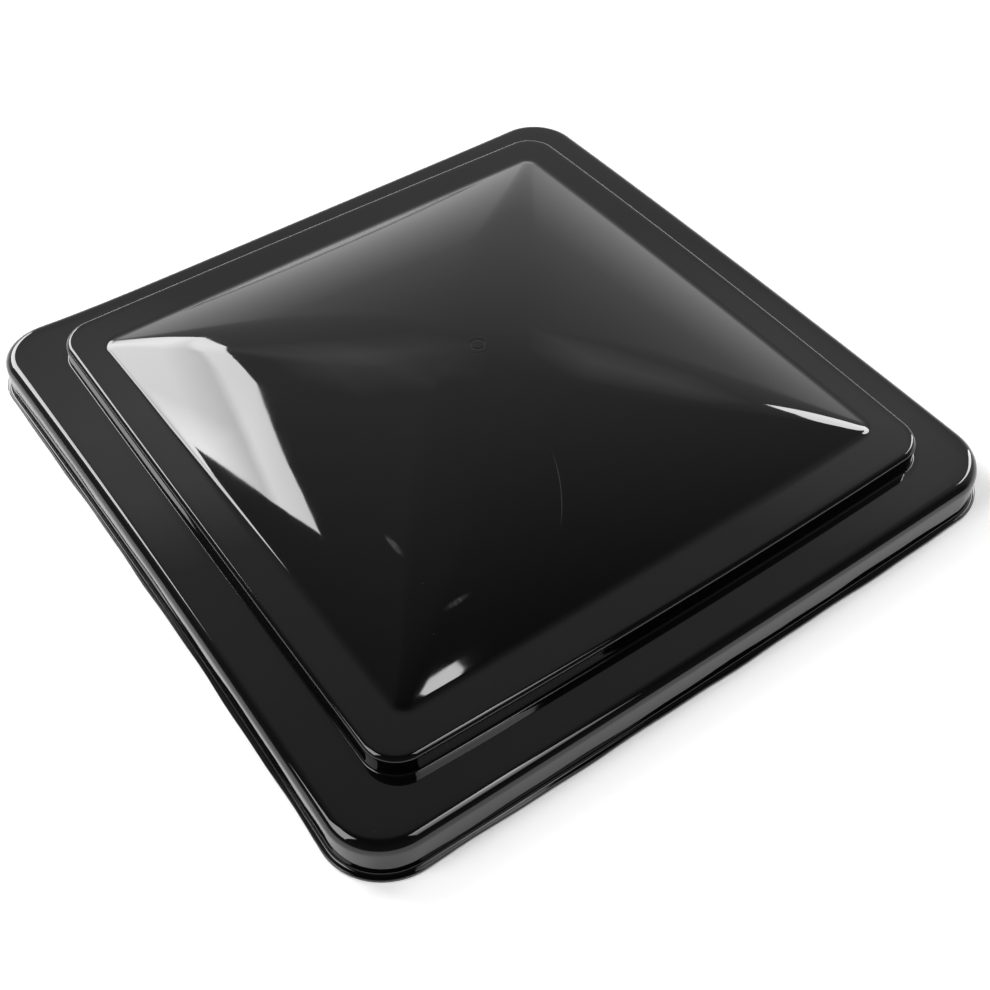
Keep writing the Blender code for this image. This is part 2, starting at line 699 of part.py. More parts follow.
def make_base_leaf(name, centre_x, material):
    """Hinge leaf that screws to the vent frame, folded flat under the lid."""
    half = HINGE_WIDTH / 2.0
    bottom = HINGE_AXIS_Z - KNUCKLE_RADIUS
    near = HINGE_AXIS_Y - LEAF_CLEAR
    reach = HINGE_AXIS_Y - BASE_LEAF_REACH
    trim = LEAF_TRIM
    outline = (
        (centre_x - half, near),
        (centre_x - half, reach + trim),
        (centre_x - half + trim, reach),
        (centre_x + half - trim, reach),
        (centre_x + half, reach + trim),
        (centre_x + half, near),
    )
    leaf = add_object(name, prism(outline, "Z", bottom, bottom + SHEET), material)
    for index in range(1, HINGE_SEGMENTS, 2):
        low, high = segment_span(centre_x, index)
        boolean(leaf, temporary(prism(knuckle_outline("front"), "X", low, high)), "UNION")
    for offset in (-BASE_LEAF_HOLE_X, BASE_LEAF_HOLE_X):
        centre = (centre_x + offset, HINGE_AXIS_Y - BASE_LEAF_HOLE_REACH)
        profile = ((BASE_LEAF_HOLE, bottom - SHEET), (BASE_LEAF_HOLE, bottom + 2.0 * SHEET))
        boolean(leaf, temporary(lathe(profile, "Z", centre)), "DIFFERENCE")
    cut_pin_bore(leaf, centre_x)
    set_origin(leaf, (centre_x, HINGE_AXIS_Y, HINGE_AXIS_Z))
    return leaf


def make_hinge_pin(name, centre_x, material):
    """Hinge pin with a formed cap at each end."""
    half = HINGE_WIDTH / 2.0 + GAP
    cap = half + HINGE_PIN_CAP_LENGTH
    profile = (
        (HINGE_PIN_CAP - HINGE_PIN_CAP_BREAK, centre_x - cap),
        (HINGE_PIN_CAP, centre_x - cap + HINGE_PIN_CAP_BREAK),
        (HINGE_PIN_CAP, centre_x - half),
        (HINGE_PIN_RADIUS, centre_x - half),
        (HINGE_PIN_RADIUS, centre_x + half),
        (HINGE_PIN_CAP, centre_x + half),
        (HINGE_PIN_CAP, centre_x + cap - HINGE_PIN_CAP_BREAK),
        (HINGE_PIN_CAP - HINGE_PIN_CAP_BREAK, centre_x + cap),
    )
    bm = lathe(profile, "X", (HINGE_AXIS_Y, HINGE_AXIS_Z))
    return add_object(name, bm, material, SHARP_ANGLE)


def make_rivet(name, x, material):
    """Rivet through skirt and leaf, domed outside and set inside."""
    outside = SKIRT_Y + SKIRT_DRAFT + GAP
    inside = HINGE_AXIS_Y + KNUCKLE_RADIUS - SHEET - GAP
    profile = (
        (RIVET_HEAD_RADIUS * 0.45, outside + RIVET_HEAD),
        (RIVET_HEAD_RADIUS * 0.8, outside + RIVET_HEAD * 0.7),
        (RIVET_HEAD_RADIUS, outside + RIVET_HEAD * 0.2),
        (RIVET_HEAD_RADIUS, outside),
        (RIVET_RADIUS, outside),
        (RIVET_RADIUS, inside),
        (RIVET_TAIL_RADIUS, inside),
        (RIVET_TAIL_RADIUS, inside - RIVET_TAIL * 0.6),
        (RIVET_TAIL_RADIUS * 0.7, inside - RIVET_TAIL),
    )
    bm = lathe(profile, "Y", (x, RIVET_Z))
    return add_object(name, bm, material, SHARP_ANGLE)


def main():
    """Build every piece."""
    clear_scene()
    black = make_material("gloss_black_moulding", (0.012, 0.012, 0.013), 0.12, coat=0.3)
    foam = make_material("closed_cell_foam", (0.03, 0.03, 0.032), 0.9)
    zinc = make_material("zinc_plated_sheet", (0.62, 0.63, 0.65), 0.38, metallic=1.0)
    bright = make_material("bright_steel", (0.68, 0.68, 0.69), 0.25, metallic=1.0)
    nylon = make_material("natural_nylon", (0.78, 0.76, 0.70), 0.45)
    alloy = make_material("rivet_alloy", (0.70, 0.71, 0.73), 0.32, metallic=1.0)
    make_lid_shell(black)
    make_seal(foam)
    make_track(zinc)
    for end, sy in (("front", -1.0), ("rear", 1.0)):
        for side, sx in (("left", -1.0), ("right", 1.0)):
            make_track_screw(f"track_screw_{end}_{side}", sx * SCREW_X, sy * SCREW_Y, bright)
    make_shoe(nylon)
    make_arm_pin(bright)
    make_clip(bright)
    for side, sx in (("left", -1.0), ("right", 1.0)):
        x = sx * HINGE_X
        make_lid_leaf(f"lid_hinge_leaf_{side}", x, zinc)
        make_base_leaf(f"base_hinge_leaf_{side}", x, zinc)
        make_hinge_pin(f"hinge_pin_{side}", x, bright)
        make_rivet(f"hinge_rivet_{side}_1", x - RIVET_X, alloy)
        make_rivet(f"hinge_rivet_{side}_2", x + RIVET_X, alloy)


main()
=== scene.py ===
"""Looks of the roof vent cover: fine lid surface, materials, studio light and camera."""
import math

import bpy
from mathutils import Matrix, Vector


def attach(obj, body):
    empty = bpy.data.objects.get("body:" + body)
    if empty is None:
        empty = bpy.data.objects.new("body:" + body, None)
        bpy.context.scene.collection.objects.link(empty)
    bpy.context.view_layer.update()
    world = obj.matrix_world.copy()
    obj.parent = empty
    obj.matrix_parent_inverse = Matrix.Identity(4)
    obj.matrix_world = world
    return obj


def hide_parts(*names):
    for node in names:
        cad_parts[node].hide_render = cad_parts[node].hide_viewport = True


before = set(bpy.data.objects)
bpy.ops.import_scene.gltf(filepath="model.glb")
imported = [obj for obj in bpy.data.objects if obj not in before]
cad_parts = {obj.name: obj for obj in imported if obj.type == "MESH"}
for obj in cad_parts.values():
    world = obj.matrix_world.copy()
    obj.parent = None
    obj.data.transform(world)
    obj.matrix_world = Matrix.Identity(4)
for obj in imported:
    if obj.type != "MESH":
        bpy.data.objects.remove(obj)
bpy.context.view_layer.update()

MM = 0.001

# Lid, outside: the CAD part's own dimensions
SKIRT_X = 200.4 * MM
SKIRT_Y = 202.9 * MM
SKIRT_DRAFT = 0.3 * MM
SKIRT_CORNER = 30.5 * MM
LIP_REACH = 3.0 * MM
LIP_THICK = 2.4 * MM
LEDGE_Z = 24.0 * MM
LEDGE_FILLET = 6.2 * MM
STEP_X = 169.8 * MM
STEP_Y = 174.3 * MM
STEP_CORNER = 18.0 * MM
STEP_FILLET = 3.0 * MM
STEP_BOW = 1.8 * MM
PLATFORM_Z = 36.0 * MM
FOOT_X = 151.2 * MM
FOOT_Y = 152.8 * MM
FOOT_CORNER = 9.0 * MM
COVE_WIDTH = 3.2 * MM
COVE_STARTS = 0.12
COVE_ENDS = 0.36
DOME_BOW = 1.0 * MM
DOME_TOP_Z = 66.0 * MM
APEX_SOFTNESS = 0.10
DOME_POWER = 1.9
DOME_BULGE = 14.0 * MM
HIP_POWER = 1.6
WALL = 2.3 * MM

# Small rounds and margins of the outer surface
LIP_TOP_ROUND = 0.7 * MM
LIP_UNDER_ROUND = 0.5 * MM
SKIRT_COVE = 1.4 * MM
LEDGE_MARGIN = 6.0 * MM
STEP_BASE_COVE = 1.0 * MM
STEP_FLARE = 0.3 * MM
STEP_FLARE_TOP = 0.15 * MM
STEP_FLARE_RISE = 5.0 * MM
STEP_MARGIN = 4.0 * MM
PLATFORM_MARGIN = 3.0 * MM
FOOT_MARGIN = 2.0 * MM
DOME_RINGS = 90
RINGS_UNDER_GATE = 5

# The inner surface
INNER_DOME_INSET = 4.2 * MM
INNER_DOME_RISE = 0.4 * MM
INNER_FOOT_INSET = 1.2 * MM
INNER_STEP_ROUND = 1.2 * MM
INNER_LEDGE_ROUND = 0.8 * MM
INNER_LEDGE_MARGIN = 5.0 * MM
INNER_SKIRT_ROUND = 2.4 * MM
INNER_EDGE_Z = 1.0 * MM
INNER_EDGE_CHAMFER = 0.5 * MM
INNER_DOME_RINGS = 40

# Draw of the moulding as it cooled: how far its corners have moved sideways, how fast that fades
# away from the corners, and how far skirt and step are turned against the dome (radians)
DRAW_X = -2.57 * MM
DRAW_Y = 1.63 * MM
DRAW_HINGE_LEFT = 7.0 * MM
DRAW_HINGE_RIGHT = 1.1 * MM
DRAW_POWER = 2
DRAW_HINGE_POWER = 6
SKIRT_BEGINS = STEP_Y + 12.0 * MM
SKIRT_TURN = -0.0075
STEP_TURN = -0.010
LIP_RIPPLE = 0.25 * MM
# Waves of the lip's rim along each side: radians to the metre, phase, share
RIPPLE_WAVES = ((61.0, 1.0, 1.0), (140.0, 0.0, 0.6))

# Gate mark at the top of the dome: a fine groove and a fainter one round it
GATE_REACH = 8.4 * MM
GATE_STEP = 0.3 * MM
GATE_GROOVES = ((3.7 * MM, 0.45 * MM, 0.15 * MM), (7.0 * MM, 0.60 * MM, 0.03 * MM))

# Bosses for the track screws
BOSS_X = 10.0 * MM
BOSS_Y = 161.0 * MM
BOSS_RADIUS = 4.6 * MM
BOSS_HOLE = 1.65 * MM
BOSS_BOTTOM_Z = 28.0 * MM
BOSS_TOP_Z = 34.2 * MM
BOSS_RIM = 0.3 * MM
BOSS_ROOT_FLARE = 0.5 * MM
BOSS_ROOT_RISE = 1.2 * MM
BOSS_HOLE_CAP = 0.8 * MM
BOSS_SIDES = 40

CORNER_STEPS = 20
SIDE_STEPS = 40

PLASTIC_IOR = 1.5

# Marks of handling on the dome: centre, half length, half width, angle
RUB_SOLID = 0.3
RUBS = (
    ((-105.3 * MM, -78.5 * MM), 10.0 * MM, 1.9 * MM, 90.0),
    ((-98.6 * MM, -121.0 * MM), 9.0 * MM, 1.8 * MM, 3.0),
)
SCRATCH_CENTRE = (-102.4 * MM, -47.7 * MM)
SCRATCH_RADIUS = 96.7 * MM
SCRATCH_HALF_WIDTH = 0.28 * MM
SCRATCH_SPOT = ((-21.5 * MM, -97.0 * MM), 25.0 * MM, 8.0 * MM, 60.0)

# Share of brushing against mottle in the metals
BRUSHED_SHARE = 0.6
# Stretch of the grain of metal that was drawn, rolled or turned
ALONG_X = (0.03, 1.0, 1.0)
ALONG_Y = (1.0, 0.03, 1.0)
ALONG_Z = (1.0, 1.0, 0.03)
ROUND_X = (1.0, 0.1, 0.1)
ROUND_Z = (0.1, 0.1, 1.0)

# Floor
FLOOR_HALF = 6.0
FLOOR_GLOW = 0.20

# World: brightness by height, 0 at the horizon and 1 overhead, towards the lit sweep; it fades
# with the cosine of the angle from the sweep's azimuth
SWEEP_AZIMUTH = 42.0
SWEEP_LEVELS = ((0.0, 1.45), (0.1, 1.15), (0.3, 0.66), (0.62, 0.52), (0.8, 0.38), (0.92, 0.27), (1.0, 0.24))
SWEEP_FADE_FROM = 0.55
SWEEP_FADE_TO = -0.05
ROOM_SHARE = 0.12

# Softboxes and the spill of light on the room behind them
PANEL_DISTANCE = 3.0
SPILL_DISTANCE = 3.4
# Each panel: rows from bottom to top, each row from left to right, (azimuth, elevation, brightness)
LEFT_ROWS = (
    (
        (-30, 26, 12), (-22, 24, 12), (-15, 21, 12),
        (-11, 19, 10), (-3, 16, 6), (3.4, 12, 1.5),
    ),
    (
        (-29.1, 41.3, 17), (-23.5, 40.6, 12.2), (-16, 39, 12),
        (-13, 38, 12), (-2, 31, 12), (4.0, 26, 10),
    ),
    (
        (-28.8, 46.2, 10.5), (-21.3, 44.6, 9.4), (-14, 42.2, 9),
        (-12, 40.8, 9), (-1, 33.0, 10), (4.3, 28.0, 10),
    ),
    (
        (-28.6, 47.4, 14), (-21.0, 45.8, 14), (-13.8, 43.4, 12.4),
        (-11.7, 41.9, 12.4), (-0.8, 33.9, 12), (4.4, 28.5, 10),
    ),
    (
        (-27.6, 50.9, 12), (-19, 48.2, 12), (-10.4, 45.4, 12),
        (-9.1, 43.4, 12), (1.0, 36.4, 12), (4.5, 29.3, 10),
    ),
)
RIGHT_ROWS = (
    ((84.5, 14, 13), (85, 14, 13), (85.6, 14, 13), (86.3, 14, 13), (87, 14, 13)),
    ((81, 30, 13), (84, 34, 13), (88, 38.5, 13), (92, 42, 13), (95, 42.5, 13)),
    ((75.3, 41, 13), (82, 43.2, 13), (89, 46.4, 13), (96, 48.2, 14), (100, 47.3, 15)),
)
FRONT_ROWS = (
    ((130.5, 70.7, 12), (135.5, 68.4, 12), (141, 64, 8), (150, 44, 2), (172, 44, 2)),
    ((133.5, 72.3, 12), (141, 72.0, 12), (150, 71.6, 9), (160, 71, 7), (172, 71, 6)),
)
NEAR_ROWS = (
    ((-95, 25, 6.5), (-60, 25, 6.5)),
    ((-95, 60, 6.5), (-60, 60, 6.5)),
)
SPILL_ROWS = (
    ((-4, 36, 0), (6, 36, 0), (14, 37, 0), (24, 38, 0), (37, 38, 0)),
    ((-4, 43, 0), (6, 43, 0.35), (14, 43, 0.45), (24, 43, 0.2), (37, 43, 0)),
    ((-4, 47, 0), (6, 47, 0.35), (14, 47, 0.4), (24, 47, 0.15), (37, 47, 0)),
    ((-4, 51, 0), (6, 51, 0), (14, 51, 0), (24, 51, 0), (37, 51, 0)),
)
RIGHT_SPILL_ROWS = (
    ((44, 36, 0), (54, 36, 0), (64, 36, 0), (76, 36, 0)),
    ((44, 43, 0), (54, 43, 0.4), (64, 43, 0.36), (76, 43, 0)),
    ((44, 50, 0), (54, 50, 0), (64, 50, 0), (76, 50, 0)),
)

# Camera
CAMERA_AZIMUTH = 35.74
CAMERA_ELEVATION = 48.61
CAMERA_DISTANCE = 0.7387
CAMERA_ROLL = 0.33
CAMERA_AIM = Vector((-0.0212, -0.04444, 0.0))
CAMERA_LENS = 49.45
CAMERA_SENSOR = 36.0
CAMERA_CLIP = 0.01


def ripple_at(ripple, along):
    """Unevenness of the lip at a place along its side."""
    return ripple * sum(share * math.sin(rate * along + phase) for rate, phase, share in RIPPLE_WAVES)


def contour(half_x, half_y, radius, z, bow=0.0, ripple=0.0, turn=0.0):
    """Points of a rounded rectangle: sides bowed and uneven, the whole turned a little."""
    points = []
    corners = ((1, 1, 0.0), (-1, 1, 90.0), (-1, -1, 180.0), (1, -1, 270.0))
    for index, (sx, sy, start) in enumerate(corners):
        for step in range(CORNER_STEPS + 1):
            angle = math.radians(start + 90.0 * step / CORNER_STEPS)
            x = sx * (half_x - radius) + radius * math.cos(angle)
            y = sy * (half_y - radius) + radius * math.sin(angle)
            points.append((x, y))
        next_sx, next_sy, next_start = corners[(index + 1) % 4]
        angle = math.radians(next_start)
        end_x = next_sx * (half_x - radius) + radius * math.cos(angle)
        end_y = next_sy * (half_y - radius) + radius * math.sin(angle)
        begin_x, begin_y = points[-1]
        for step in range(1, SIDE_STEPS):
            t = step / SIDE_STEPS
            points.append((begin_x + (end_x - begin_x) * t, begin_y + (end_y - begin_y) * t))
    result = []
    for x, y in points:
        bow_x = bow * (1.0 - (y / half_y) ** 2)
        bow_y = bow * (1.0 - (x / half_x) ** 2)
        corner_share = (x / SKIRT_X) ** DRAW_POWER * (y / SKIRT_Y) ** DRAW_POWER
        draw_y = DRAW_Y * corner_share
        turn_y = turn * x
        if y > 0.0 and half_y > SKIRT_BEGINS:
            reach = DRAW_HINGE_RIGHT if x > 0.0 else DRAW_HINGE_LEFT
            draw_y = reach * (x / SKIRT_X) ** DRAW_HINGE_POWER * (y / SKIRT_Y) ** 2
            turn_y *= max(0.0, 1.0 - y / (SKIRT_Y - SKIRT_CORNER))
        moved_x = x + (bow_x + ripple_at(ripple, y)) * x / half_x + DRAW_X * corner_share - turn * y
        moved_y = y + (bow_y + ripple_at(ripple, x)) * y / half_y + draw_y + turn_y
        result.append((moved_x, moved_y, z))
    return result


def dome_height(s):
    """Share of the dome's rise at plan scale s, 1 at its foot and 0 at its top."""
    flat = APEX_SOFTNESS**DOME_POWER
    full = math.hypot(1.0, APEX_SOFTNESS) ** DOME_POWER - flat
    return 1.0 - (math.hypot(s, APEX_SOFTNESS) ** DOME_POWER - flat) / full


def cove_height(inward):
    """Rise of the cove at the dome's foot, inward from its outer edge."""
    return COVE_STARTS * inward + (COVE_ENDS - COVE_STARTS) * inward**2 / (2.0 * COVE_WIDTH)


def dome_contours(half_x, half_y, base_z, top_z, rings):
    """Contours up the dome, square at the foot and round at the top."""
    result = []
    foot_share = (FOOT_CORNER - COVE_WIDTH) / half_x
    for index in range(rings):
        s = 1.0 - index / rings
        share = foot_share + (1.0 - foot_share) * (1.0 - s) ** HIP_POWER
        radius = share * s * min(half_x, half_y)
        z = base_z + (top_z - base_z) * dome_height(s)
        bulge = DOME_BOW * s + DOME_BULGE * s * (1.0 - s)
        result.append(contour(half_x * s, half_y * s, radius, z, bulge))
    return result


def gate_contours(half, base_z):
    """Fine rings over the top of the dome that carry the gate mark."""
    result = []
    steps = round(GATE_REACH / GATE_STEP)
    for index in range(steps):
        radius = GATE_REACH - GATE_STEP * index
        z = base_z + (DOME_TOP_Z - base_z) * dome_height(radius / (half + DOME_BULGE + DOME_BOW))
        for centre, width, depth in GATE_GROOVES:
            z -= depth * math.exp(-(((radius - centre) / width) ** 2))
        result.append(contour(radius, radius, radius, z))
    return result


def side(offset, z):
    """Contour that follows the skirt."""
    return contour(SKIRT_X + offset, SKIRT_Y + offset, SKIRT_CORNER + offset, z, turn=SKIRT_TURN)


def lip_side(offset, z):
    """Contour that follows the lip's uneven rim."""
    corner = SKIRT_CORNER + offset
    return contour(SKIRT_X + offset, SKIRT_Y + offset, corner, z, ripple=LIP_RIPPLE, turn=SKIRT_TURN)


def step_side(offset, z):
    """Contour that follows the raised step."""
    return contour(STEP_X + offset, STEP_Y + offset, STEP_CORNER + offset, z, STEP_BOW, turn=STEP_TURN)


def arc(make, start, end, centre_offset, centre_z, radius, steps):
    """Contours round a fillet, angles in degrees from straight out."""
    result = []
    for index in range(steps + 1):
        angle = math.radians(start + (end - start) * index / steps)
        offset = centre_offset + radius * math.cos(angle)
        result.append(make(offset, centre_z + radius * math.sin(angle)))
    return result


def lid_outside():
    """Contours of the lid's outer surface, lip to dome."""
    rings = []
    rings += arc(lip_side, -90.0, 0.0, LIP_REACH - LIP_UNDER_ROUND, LIP_UNDER_ROUND, LIP_UNDER_ROUND, 4)
    rings += arc(lip_side, 0.0, 90.0, LIP_REACH - LIP_TOP_ROUND, LIP_THICK - LIP_TOP_ROUND, LIP_TOP_ROUND, 6)
    wall_low = LIP_THICK + SKIRT_COVE
    wall_high = LEDGE_Z - LEDGE_FILLET
    rings += arc(side, 270.0, 180.0, SKIRT_DRAFT + SKIRT_COVE, wall_low, SKIRT_COVE, 8)
    for share in (0.25, 0.5, 0.75):
        rings.append(side(SKIRT_DRAFT * (1.0 - share), wall_low + (wall_high - wall_low) * share))
    rings += arc(side, 0.0, 90.0, -LEDGE_FILLET, wall_high, LEDGE_FILLET, 18)
    rings.append(side(-LEDGE_FILLET - LEDGE_MARGIN, LEDGE_Z))
    base = STEP_FLARE + STEP_BASE_COVE
    rings.append(step_side(base + STEP_MARGIN, LEDGE_Z))
    rings += arc(step_side, 270.0, 182.0, base, LEDGE_Z + STEP_BASE_COVE, STEP_BASE_COVE, 8)
    rings.append(step_side(STEP_FLARE_TOP, LEDGE_Z + STEP_FLARE_RISE))
    rings += arc(step_side, 2.0, 90.0, -STEP_FILLET, PLATFORM_Z - STEP_FILLET, STEP_FILLET, 12)
    rings.append(step_side(-STEP_FILLET - PLATFORM_MARGIN, PLATFORM_Z))
    corner = FOOT_CORNER + FOOT_MARGIN
    rings.append(contour(FOOT_X + FOOT_MARGIN, FOOT_Y + FOOT_MARGIN, corner, PLATFORM_Z, DOME_BOW))
    cove_steps = 8
    for step in range(cove_steps):
        inward = COVE_WIDTH * step / cove_steps
        z = PLATFORM_Z + cove_height(inward)
        rings.append(contour(FOOT_X - inward, FOOT_Y - inward, FOOT_CORNER - inward, z, DOME_BOW))
    foot_z = PLATFORM_Z + cove_height(COVE_WIDTH)
    dome = dome_contours(FOOT_X - COVE_WIDTH, FOOT_Y - COVE_WIDTH, foot_z, DOME_TOP_Z, DOME_RINGS)
    rings += dome[:-RINGS_UNDER_GATE]
    rings += gate_contours(FOOT_X - COVE_WIDTH, foot_z)
    return rings


def lid_inside():
    """Contours of the lid's inner surface, dome to bottom edge."""
    ledge_under = LEDGE_Z - WALL
    platform_under = PLATFORM_Z - WALL
    half_x = FOOT_X - INNER_DOME_INSET
    half_y = FOOT_Y - INNER_DOME_INSET
    foot_z = platform_under + INNER_DOME_RISE
    dome = dome_contours(half_x, half_y, foot_z, DOME_TOP_Z - WALL, INNER_DOME_RINGS)
    rings = list(reversed(dome))
    half_x = FOOT_X - INNER_FOOT_INSET
    half_y = FOOT_Y - INNER_FOOT_INSET
    rings.append(contour(half_x, half_y, FOOT_CORNER, platform_under, DOME_BOW))
    rings.append(step_side(-WALL - STEP_MARGIN, platform_under))
    inset = -WALL - INNER_STEP_ROUND
    rings += arc(step_side, 90.0, 0.0, inset, platform_under - INNER_STEP_ROUND, INNER_STEP_ROUND, 5)
    inset = -WALL + INNER_LEDGE_ROUND
    rings += arc(step_side, 180.0, 270.0, inset, ledge_under + INNER_LEDGE_ROUND, INNER_LEDGE_ROUND, 5)
    rings.append(side(-WALL - INNER_LEDGE_MARGIN, ledge_under))
    inset = -WALL - INNER_SKIRT_ROUND
    rings += arc(side, 90.0, 0.0, inset, ledge_under - INNER_SKIRT_ROUND, INNER_SKIRT_ROUND, 6)
    rings.append(side(-WALL + SKIRT_DRAFT, INNER_EDGE_Z))
    rings.append(side(-WALL + SKIRT_DRAFT + INNER_EDGE_CHAMFER, 0.0))
    return rings


def mesh_object(name, vertices, faces):
    """A new object from plain vertices and faces, shaded smooth."""
    mesh = bpy.data.meshes.new(name)
    mesh.from_pydata(vertices, [], faces)
    mesh.update()
    item = bpy.data.objects.new(name, mesh)
    bpy.context.scene.collection.objects.link(item)
    mesh.shade_smooth()
    return item


def build_lid():
    """The moulded lid as one closed wall."""
    outside = lid_outside()
    inside = lid_inside()
    count = len(outside[0])
    vertices = []
    for ring in outside + inside:
        vertices.extend(ring)
    faces = []

    def bridge(a, b):
        for index in range(count):
            after = (index + 1) % count
            faces.append((a + index, a + after, b + after, b + index))

    total = len(outside) + len(inside)
    for row in range(total - 1):
        if row != len(outside) - 1:
            bridge(row * count, (row + 1) * count)
    bridge((total - 1) * count, 0)
    top = len(vertices)
    vertices.append((0.0, 0.0, DOME_TOP_Z))
    vertices.append((0.0, 0.0, DOME_TOP_Z - WALL))
    last = (len(outside) - 1) * count
    first = len(outside) * count
    for index in range(count):
        after = (index + 1) % count
        faces.append((last + index, last + after, top))
        faces.append((first + after, first + index, top + 1))
    return mesh_object("lid_skin", vertices, faces)


def build_bosses():
    """Four blind bosses under the platform for the track screws."""
    profile = (
        (BOSS_RADIUS + BOSS_ROOT_FLARE, BOSS_TOP_Z),
        (BOSS_RADIUS, BOSS_TOP_Z - BOSS_ROOT_RISE),
        (BOSS_RADIUS, BOSS_BOTTOM_Z + BOSS_RIM),
        (BOSS_RADIUS - BOSS_RIM, BOSS_BOTTOM_Z),
        (BOSS_HOLE + BOSS_RIM, BOSS_BOTTOM_Z),
        (BOSS_HOLE, BOSS_BOTTOM_Z + BOSS_RIM),
        (BOSS_HOLE, BOSS_TOP_Z - BOSS_HOLE_CAP),
    )
    vertices = []
    faces = []
    for centre_x in (-BOSS_X, BOSS_X):
        for centre_y in (-BOSS_Y, BOSS_Y):
            first = len(vertices)
            for radius, z in profile:
                for index in range(BOSS_SIDES):
                    angle = 2.0 * math.pi * index / BOSS_SIDES
                    x = centre_x + radius * math.cos(angle)
                    y = centre_y + radius * math.sin(angle)
                    vertices.append((x, y, z))
            for row in range(len(profile) - 1):
                low = first + row * BOSS_SIDES
                high = low + BOSS_SIDES
                for index in range(BOSS_SIDES):
                    after = (index + 1) % BOSS_SIDES
                    faces.append((low + after, low + index, high + index, high + after))
            last = first + (len(profile) - 1) * BOSS_SIDES
            faces.append(tuple(range(last, last + BOSS_SIDES)))
            faces.append(tuple(range(first, first + BOSS_SIDES)))
    return mesh_object("screw_bosses", vertices, faces)


def new_material(name):
    """An empty node material, its tree and its Principled shader."""
    material = bpy.data.materials.new(name)
    material.use_nodes = True
    tree = material.node_tree
    return material, tree, tree.nodes["Principled BSDF"]


def add_node(tree, kind, inputs, **settings):
    """A new node with its attributes set and its inputs linked or set."""
    new = tree.nodes.new(kind)
    for name, value in settings.items():
        setattr(new, name, value)
    for name, value in inputs.items():
        if isinstance(value, bpy.types.NodeSocket):
            tree.links.new(value, new.inputs[name])
        else:
            new.inputs[name].default_value = value
    return new


def place(tree, stretch=(1.0, 1.0, 1.0)):
    """Place on the object in metres, stretched for grain that runs one way."""
    where = add_node(tree, "ShaderNodeTexCoord", {}).outputs["Object"]
    return add_node(tree, "ShaderNodeMapping", {"Vector": where, "Scale": stretch}).outputs["Vector"]


def noise(tree, scale, detail=2.0, stretch=(1.0, 1.0, 1.0)):
    """Noise value over the object."""
    settings = {"Vector": place(tree, stretch), "Scale": scale, "Detail": detail}
    return add_node(tree, "ShaderNodeTexNoise", settings).outputs["Fac"]


def cells(tree, scale):
    """Distance to the middle of the nearest Voronoi cell over the object."""
    pattern = add_node(tree, "ShaderNodeTexVoronoi", {"Vector": place(tree), "Scale": scale})
    return pattern.outputs["Distance"]


def remap(tree, value, from_low, from_high, low, high):
    """A value carried from one range to another and kept inside it."""
    limits = {"Value": value, "From Min": from_low, "From Max": from_high, "To Min": low, "To Max": high}
    return add_node(tree, "ShaderNodeMapRange", limits, interpolation_type="SMOOTHSTEP").outputs["Result"]


def calculate(tree, operation, first, second):
    """One arithmetic step."""
    step = add_node(tree, "ShaderNodeMath", {}, operation=operation)
    for socket, value in zip(step.inputs, (first, second)):
        if isinstance(value, bpy.types.NodeSocket):
            tree.links.new(value, socket)
        else:
            socket.default_value = value
    return step.outputs[0]


def two_tone(tree, factor, first, second):
    """Colour between two tones."""
    mix = tree.nodes.new("ShaderNodeMix")
    mix.data_type = "RGBA"
    tree.links.new(factor, mix.inputs[0])
    for socket, tone in ((mix.inputs[6], first), (mix.inputs[7], second)):
        if isinstance(tone, bpy.types.NodeSocket):
            tree.links.new(tone, socket)
        else:
            socket.default_value = (*tone, 1.0)
    return mix.outputs[2]


def bump(tree, shader, height, distance):
    """Surface relief of a given depth in metres."""
    relief = add_node(tree, "ShaderNodeBump", {"Height": height, "Strength": 1.0, "Distance": distance})
    tree.links.new(relief.outputs["Normal"], shader.inputs["Normal"])


def plan_distance(tree, where):
    """Length of a vector as seen from above."""
    flat = add_node(tree, "ShaderNodeVectorMath", {0: where, 1: (1.0, 1.0, 0.0)}, operation="MULTIPLY")
    reach = add_node(tree, "ShaderNodeVectorMath", {0: flat.outputs["Vector"]}, operation="LENGTH")
    return reach.outputs["Value"]


def rub_mark(tree, centre, half_length, half_width, angle):
    """Soft oval mask for a rub on the surface, seen from above."""
    where = add_node(tree, "ShaderNodeTexCoord", {}).outputs["Object"]
    turned = add_node(
        tree,
        "ShaderNodeMapping",
        {
            "Vector": where,
            "Location": (centre[0], centre[1], 0.0),
            "Rotation": (0.0, 0.0, math.radians(angle)),
            "Scale": (half_length, half_width, 1.0),
        },
        vector_type="TEXTURE",
    ).outputs["Vector"]
    return remap(tree, plan_distance(tree, turned), RUB_SOLID, 1.0, 1.0, 0.0)


def hairline(tree, centre, radius, half_width):
    """Mask for a thin scratch along a circle, seen from above."""
    where = add_node(tree, "ShaderNodeTexCoord", {}).outputs["Object"]
    moved = add_node(tree, "ShaderNodeVectorMath", {0: where, 1: (*centre, 0.0)}, operation="SUBTRACT")
    off_line = calculate(tree, "SUBTRACT", plan_distance(tree, moved.outputs["Vector"]), radius)
    off_line = calculate(tree, "ABSOLUTE", off_line, 0.0)
    return remap(tree, off_line, 0.0, half_width, 1.0, 0.0)


